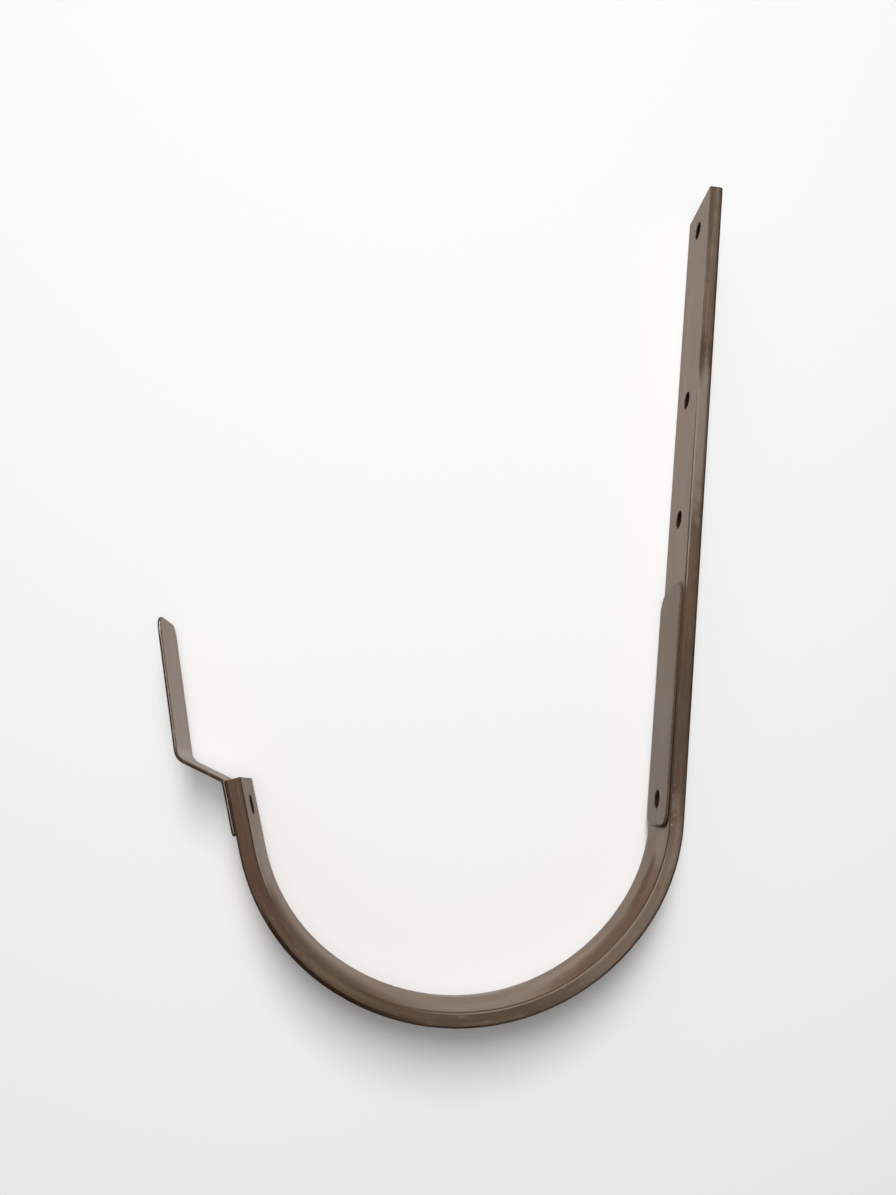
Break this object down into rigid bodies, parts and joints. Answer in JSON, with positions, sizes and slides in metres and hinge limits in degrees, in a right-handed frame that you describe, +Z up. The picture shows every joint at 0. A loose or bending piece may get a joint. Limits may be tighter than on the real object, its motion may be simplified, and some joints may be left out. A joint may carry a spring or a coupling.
{
  "type": "gutter bracket",
  "caption": "Flat-bar hook with a drilled stem and thin tongues at its rear and front, which carries a half-round roof gutter and folds over its edges.",
  "frame": {"origin": "on the stem's back face, midway across the bar and midway between the lower pair of fixing holes", "axes": "+Z up the stem as installed, +X out of the stem's back face into the wall or rafter, Y along the gutter; the hook reaches towards -X"},
  "size_m": [0.1761, 0.025, 0.2963],
  "materials": {
    "brown_paint": "satin brown paint on steel, rubbed along the edges"
  },
  "bodies": {
    "root": {"hook_bar": "brown_paint", "rear_tongue": "brown_paint", "front_tongue": "brown_paint"}
  },
  "joints": []
}
